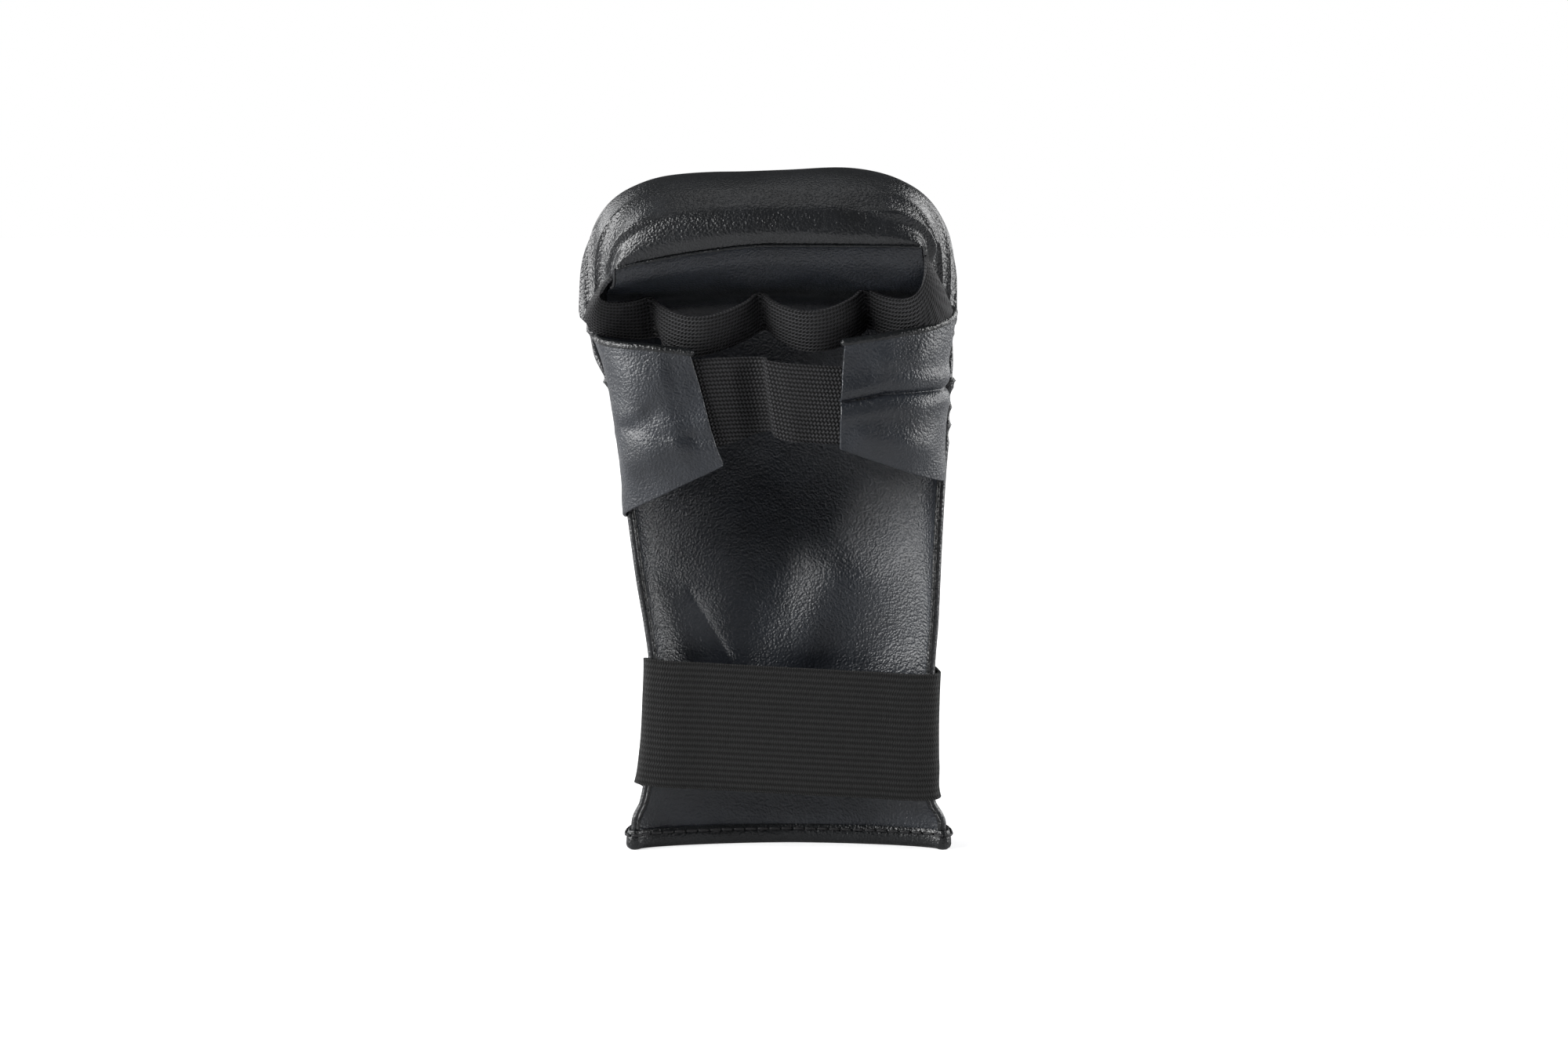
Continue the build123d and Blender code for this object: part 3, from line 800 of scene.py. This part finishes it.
# The long edges of the palm elastic, with the fold ridge at its middle.
PALM_TOP = (
    (-41, -38, 178), (-33, -37.5, 178.5), (-22, -36.8, 179), (-12, -34.8, 179), (-9.6, -35.6, 179),
    (-8.6, -39, 178.5), (-5, -39.4, 177.8), (8, -38.4, 176.6), (19, -38, 176), (26, -38, 175.5),
)
PALM_LOW = (
    (-33, -36, 146), (-25, -35, 147.8), (-17, -32.8, 150), (-9.5, -30.6, 152.5), (-7, -31.6, 152.8),
    (-5.6, -35.8, 151.6), (-2, -36.8, 150.4), (7, -36.2, 149.5), (17, -36.5, 149), (25, -36.5, 149),
)
palm_grid = strip(PALM_TOP, PALM_LOW, fine(200), fine(46), 0.3)
palm_band = slab("palm_band", palm_grid, ELASTIC_THICKNESS, BAND_KNIT, ELASTIC_ROUNDING)
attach(palm_band, "hand")
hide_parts("palm_elastic")

# ---------------------------------------------------------------- palm flaps

# Nets of (x, y, z) points: rows from the top edge down, and in each row from the side seam inwards.
LEFT_FLAP = (
    (
        (-67, -10, 184), (-68.3, -18, 183.5), (-67.3, -26, 183),
        (-59.5, -34, 182.5), (-48, -38.5, 182), (-34.4, -40.5, 180.5),
    ),
    (
        (-63, -11, 168), (-63.9, -19, 168), (-63, -27, 168),
        (-56, -34, 168), (-45, -38, 168), (-31, -40, 168),
    ),
    (
        (-60, -12.5, 152), (-61.5, -20, 152), (-60, -28, 152),
        (-52, -34, 152), (-40, -37.5, 152), (-27, -39.5, 153),
    ),
    (
        (-58.5, -13.5, 120), (-59, -18, 121.5), (-56, -24, 124),
        (-48, -30, 128.5), (-37, -35, 134.5), (-23, -38.5, 141.5),
    ),
)
RIGHT_FLAP = (
    (
        (55.8, -10, 193.5), (57.6, -17, 193), (56, -25, 191),
        (48, -33, 188.5), (35.5, -38.5, 186.5), (18.7, -41, 184),
    ),
    (
        (53.8, -11, 177), (55.2, -18, 177), (54, -26, 176.5),
        (46.5, -33, 175.5), (34, -38, 174.5), (18, -40.5, 173.5),
    ),
    (
        (53.8, -12, 158), (55.3, -19, 158.5), (53.8, -26, 159),
        (46, -33, 159.5), (33.5, -37.5, 159.5), (17.3, -40, 159.5),
    ),
    (
        (53.8, -13, 132.5), (54.8, -18, 133.5), (52.4, -24, 134.5),
        (43.5, -30, 137.5), (31.5, -34.5, 142), (17.2, -38.5, 147.5),
    ),
)
FLAP_OUTER = 1.3
FLAP_LINING = 0.9
FLAP_GAP = 0.1
ROLL_RADIUS = 1.45
ROLL_SINK = 1.1
ROLL_RISE = np.array([0, 0, 0.4])


def line_depth(grid, points, depth, width, shoulder):
    """A pressed crease across a flap at the height of a line of (x, z) points."""
    points = np.array(sorted(points), float)
    height = np.interp(grid[..., 0], points[:, 0], points[:, 1])
    off = grid[..., 2] - height
    return -depth * np.exp(-np.abs(off) / width) + shoulder * (bell(np.abs(off) - 4.5, 3))


def flap(side, controls, crease, folds, seed):
    """One palm flap: its outer leather, its lining and its rolled top edge."""
    grid = net(controls, fine(90), fine(90))
    if side == "left":
        grid = grid[:, ::-1]
    grid = grid[::-1]
    outward = normals(grid)[..., 1].mean()
    sign = -1 if outward > 0 else 1
    soft = rough(grid, 24, seed) * 1.1 + rough(grid, 9, seed + 1) * 0.3
    grid = pushed(grid, sign * (soft + line_depth(grid, *crease)))
    for fold in folds:
        grid = ridge(grid, *fold)
    back = moved_by(grid, -sign * FLAP_OUTER)
    outer = skin(f"{side}_flap_skin", grid, back, LINING_LEATHER)
    round_edges(outer, 0.5)
    inset = grid[3:-3, 3:-3]
    near = moved_by(inset, -sign * (FLAP_OUTER + FLAP_GAP))
    far = moved_by(inset, -sign * (FLAP_OUTER + FLAP_GAP + FLAP_LINING))
    under = skin(f"{side}_flap_under", near, far, LINING_LEATHER)
    top = even(moved_by(grid, -sign * ROLL_SINK)[-1], fine(80)) + ROLL_RISE
    roll = tubes(f"{side}_flap_roll", [top], ROLL_RADIUS, BINDING, 12)
    for piece, node, look in (
        (outer, "outer", "lining_leather"),
        (under, "lining", "lining_leather"),
        (roll, "edge", "binding_leather"),
    ):
        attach(piece, "hand")
        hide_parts(f"{side}_flap_{node}")


# Folds as ridge() takes them: from (x, z), to (x, z), height and width.
LEFT_FOLDS = (
    ((-64, 139), (-36, 150), 1.8, 7),
    ((-65, 148), (-46, 160), -1.0, 3.5),
    ((-60, 168), (-42, 172), 1.0, 8),
)
RIGHT_FOLDS = (
    ((22, 152), (50, 147), 1.6, 5),
    ((30, 176), (52, 181), 1.2, 5),
)
# Creases as line_depth() takes them: (x, z) points, depth, width and shoulder.
LEFT_CREASE = (((-66, 156), (-45, 152), (-27, 151.5)), 0.3, 1.6, 0.2)
RIGHT_CREASE = (((17, 163.4), (33, 166.3), (57, 167.3)), 2.0, 0.7, 0.8)
flap("left", LEFT_FLAP, LEFT_CREASE, LEFT_FOLDS, 11)
flap("right", RIGHT_FLAP, RIGHT_CREASE, RIGHT_FOLDS, 15)

# ---------------------------------------------------------------- cuff: strap, hem


def level_at(z):
    """The shell's cross-section at one height."""
    return spline(LEVELS[:, 1], LEVELS, np.array([z], float))[0]


def cover_at(z):
    return cover_line(level_at(z), 400)


STRAP_Z = (18, 64)
STRAP_THICK = 1.3
STRAP_FRONT_Y = -18.2
STRAP_OFF = 0.9
STRAP_ROUNDING = 0.4
TAB_LIFT = 2.2
HINGE_Y = -12
ANCHOR_X = 16
TAB_X = 8


def offset_line(points, distance):
    """A flat line moved sideways in the x-y plane, away from the middle of the shell."""
    t = np.gradient(points[:, :2], axis=0)
    t /= np.linalg.norm(t, axis=1, keepdims=True)
    n = np.column_stack([-t[:, 1], t[:, 0]])
    moved = points.copy()
    moved[:, :2] += n * distance
    return moved


def strap_skew(points):
    """The strap climbs a little towards the left across the palm side."""
    x, y = points[..., 0], points[..., 1]
    moved = points.copy()
    moved[..., 2] += (3.0 - 0.055 * np.clip(x, -52, 52)) * ramp(y, 5, -17)
    return moved


def band_row(z):
    """The strap from its stitched end on the back, round the right and across the palm to the left side."""
    outline = offset_line(cover_at(z), STRAP_OFF)
    right = outline[(outline[:, 0] > ANCHOR_X)]
    right = right[right[:, 1] > -11]
    edge_right = outline[:, 0].max()
    edge_left = outline[:, 0].min()
    corner = [
        (edge_right + 0.1, -13, z),
        (edge_right - 1.2, -16.4, z),
        (edge_right - 4.5, STRAP_FRONT_Y, z),
    ]
    middle = [
        (30, STRAP_FRONT_Y - 0.5, z),
        (0, STRAP_FRONT_Y - 0.8, z),
        (-30, STRAP_FRONT_Y - 0.5, z),
    ]
    end = [
        (edge_left + 4.5, STRAP_FRONT_Y, z),
        (edge_left + 1.2, -16.6, z),
        (edge_left, -13.6, z),
        (edge_left - 0.05, HINGE_Y, z),
    ]
    return np.concatenate([right[::12], corner, middle, end])


def tab_row(z):
    """The strap's loose end, from the left side over the back."""
    outline = offset_line(cover_at(z), STRAP_OFF)
    lift = offset_line(cover_at(z), STRAP_OFF + TAB_LIFT)
    edge = outline[:, 0].min()
    part = (outline[:, 1] > -9) & (outline[:, 0] < TAB_X)
    share = ramp(outline[:, 0], -50, -20)[:, None]
    path = (outline * (1 - share) + lift * share)[part]
    start = [(edge - 0.05, HINGE_Y, z)]
    return np.concatenate([start, path[::12]])


def band_grid(row_of, cols):
    """The strap's grid, from its lower edge to its upper edge."""
    heights = np.linspace(*STRAP_Z, fine(150))
    grid = np.array([line(row_of(z), cols) for z in heights])
    return strap_skew(grid)


band = band_grid(band_row, fine(190))
tab = band_grid(tab_row, fine(90))
strap_band = slab("strap_band", band, -STRAP_THICK, STRAP_KNIT, STRAP_ROUNDING)
strap_tab = slab("strap_tab_band", tab, STRAP_THICK, STRAP_KNIT, STRAP_ROUNDING)
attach(strap_band, "cuff")
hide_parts("wrist_strap")
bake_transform(strap_tab)
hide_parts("strap_tab")

# ---------------------------------------------------------------- hem

loop_count = fine(150)
LOWEST_ROW_Z = 3.5
# Heights, and distances outside the shell, from the hem's upper edge on the cover to inside its mouth.
HEM_PROFILE = (
    (6.8, 0.15),
    (7.0, 0.7),
    (6.0, 1.4),
    (4.0, 1.7),
    (2.0, 1.8),
    (0.8, 1.4),
    (0.1, 0.5),
    (0.0, -1.0),
)
HEM_STITCH_Z = 5.6
HEM_STITCH_OFF = 1.9
HEM_STITCH = 2.8
HEM_STITCH_GAP = 1.5
HEM_THREAD_RADIUS = 0.55


def hem_loop(z, offset):
    """A closed loop round the cuff, outside over the back and then back along the lining."""
    row = level_at(max(z, LOWEST_ROW_Z))
    outer = cover_line(row, loop_count)
    inner = lining_line(row, loop_count)[::-1]
    ring = np.concatenate([outer, inner])
    ahead = np.roll(ring, -1, axis=0)
    t = (ahead - np.roll(ring, 1, axis=0))[:, :2]
    t /= np.maximum(np.linalg.norm(t, axis=1, keepdims=True), 1e-6)
    n = np.column_stack([-t[:, 1], t[:, 0]])
    ring[:, :2] += n * offset
    ring[:, 2] = z
    return ring


def hem_faces():
    """The rolled surface between the loops, and a strip across the shell at each end of it."""
    size = 2 * loop_count
    last = len(HEM_PROFILE) - 1
    faces = []
    for i in range(last):
        for j in range(size):
            k = (j + 1) % size
            faces.append((i * size + j, i * size + k, (i + 1) * size + k, (i + 1) * size + j))
    for base in (0, last * size):
        for j in range(loop_count - 1):
            across = base + size - 1 - j
            faces.append((base + j, base + j + 1, across - 1, across))
    return faces


hem_rings = np.array([hem_loop(z, off) for z, off in HEM_PROFILE])
hem_roll = mesh_piece("hem_roll", hem_rings.reshape(-1, 3), hem_faces(), BINDING, sharp=60)
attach(hem_roll, "cuff")
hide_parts("hem_binding")
stitch_ring = hem_loop(HEM_STITCH_Z, HEM_STITCH_OFF)
stitch_ring = np.concatenate([stitch_ring, stitch_ring[:1]])
hem_runs = stitch_paths(stitch_ring, HEM_STITCH, HEM_STITCH_GAP)
hem_thread = tubes("hem_thread", hem_runs, HEM_THREAD_RADIUS, THREAD, 6)
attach(hem_thread, "cuff")
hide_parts("hem_stitches")

# ---------------------------------------------------------------- carried-over nodes

CARRIED_OVER = (
    ("loop_patch", PILE),
    ("hook_patch", PILE),
    ("strap_anchor_stitches", THREAD),
    ("strap_end_fold", STRAP_KNIT),
)
for node_name, look in CARRIED_OVER:
    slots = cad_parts[node_name].data.materials
    slots.clear()
    slots.append(look)

# ---------------------------------------------------------------- studio

LOOK_AT = Vector((-2.2, 0, 115.7)) * MM
DISTANCE = 1.2
ELEVATION = math.radians(9)
LENS = 77
SENSOR = 36

FLOOR_HALF = 3
FLOOR_DARK = (0.49, 0.49, 0.50)
FLOOR_LIGHT = (0.51, 0.51, 0.52)
FLOOR_GLOW = 0.03
# The floor's added glow in the picture: from this far out to this far out, from this much to this much.
BACKDROP_GLOW = (0.1, 0.6, 0.62, 0.97)
AIR_LIGHT = 0.035

# Name, place, where it points, size and power.
MIDDLE = (0, 0, 0.14)
LAMPS = (
    ("key", (-1.0, -0.8, 0.85), MIDDLE, (0.45, 0.5), 14),
    ("left", (-1.15, -0.3, 0.4), MIDDLE, (0.5, 1.0), 21),
    ("right", (1.15, -0.15, 0.4), MIDDLE, (0.5, 1.0), 18),
    ("left_back", (-0.9, 0.8, 0.5), MIDDLE, (0.5, 0.9), 7),
    ("right_back", (0.9, 0.8, 0.5), MIDDLE, (0.5, 0.9), 8),
    ("top", (0, 0.6, 2.2), (0, 0, 0), (1.2, 1.2), 4),
)


def studio():
    """A floor that gives off little light but is white in the picture, brighter further out."""
    mesh = bpy.data.meshes.new("floor")
    verts = [(x, y, 0) for y in (-FLOOR_HALF, FLOOR_HALF) for x in (-FLOOR_HALF, FLOOR_HALF)]
    mesh.from_pydata(verts, [], [(0, 1, 3, 2)])
    floor = bpy.data.objects.new("floor", mesh)
    bpy.context.scene.collection.objects.link(floor)
    material, nodes, links, shader = new_material("studio_floor", FLOOR_LIGHT, 0.6, 0.2)
    vector = nodes.new("ShaderNodeTexCoord").outputs["Object"]
    mottle(nodes, links, vector, shader, FLOOR_DARK, FLOOR_LIGHT, 2.0)
    shader.inputs["Emission Color"].default_value = (1, 1, 1, 1)
    reach = add(nodes, "ShaderNodeVectorMath", operation="LENGTH")
    links.new(vector, reach.inputs[0])
    far = nodes.new("ShaderNodeMapRange")
    for k, value in enumerate(BACKDROP_GLOW):
        far.inputs[k + 1].default_value = value
    links.new(reach.outputs["Value"], far.inputs[0])
    ray = nodes.new("ShaderNodeLightPath")
    extra = math_node(nodes, links, "MULTIPLY", far.outputs[0], ray.outputs["Is Camera Ray"])
    glow = math_node(nodes, links, "ADD", extra, FLOOR_GLOW)
    links.new(glow, shader.inputs["Emission Strength"])
    mesh.materials.append(material)


def lamp(name, place_at, target, size, power):
    """A rectangular soft light."""
    data = bpy.data.lights.new(name, "AREA")
    data.shape = "RECTANGLE"
    data.size, data.size_y = size
    data.energy = power
    light = bpy.data.objects.new(name, data)
    bpy.context.scene.collection.objects.link(light)
    light.location = place_at
    light.rotation_euler = (Vector(target) - Vector(place_at)).to_track_quat("-Z", "Y").to_euler()


def air():
    """A white backdrop in the picture, and a faint cool light from all round."""
    world = bpy.data.worlds.new("studio")
    bpy.context.scene.world = world
    world.use_nodes = True
    nodes = world.node_tree.nodes
    links = world.node_tree.links
    seen = nodes["Background"]
    seen.inputs["Color"].default_value = (1, 1, 1, 1)
    lit = nodes.new("ShaderNodeBackground")
    lit.inputs["Color"].default_value = (0.9, 0.95, 1, 1)
    lit.inputs["Strength"].default_value = AIR_LIGHT
    pick = nodes.new("ShaderNodeMixShader")
    ray = nodes.new("ShaderNodeLightPath")
    links.new(ray.outputs["Is Camera Ray"], pick.inputs[0])
    links.new(lit.outputs[0], pick.inputs[1])
    links.new(seen.outputs[0], pick.inputs[2])
    links.new(pick.outputs[0], nodes["World Output"].inputs["Surface"])


def camera():
    """The photograph's view: aimed at the middle of the mitt from a little above."""
    data = bpy.data.cameras.new("camera")
    data.lens = LENS
    data.sensor_width = SENSOR
    data.clip_start = 0.01
    eye = bpy.data.objects.new("camera", data)
    bpy.context.scene.collection.objects.link(eye)
    back_off = Vector((0, -DISTANCE * math.cos(ELEVATION), DISTANCE * math.sin(ELEVATION)))
    eye.location = LOOK_AT + back_off
    eye.rotation_euler = (LOOK_AT - eye.location).to_track_quat("-Z", "Y").to_euler()
    bpy.context.scene.camera = eye


studio()
for settings in LAMPS:
    lamp(*settings)
air()
camera()
bpy.context.scene.view_settings.view_transform = "Standard"
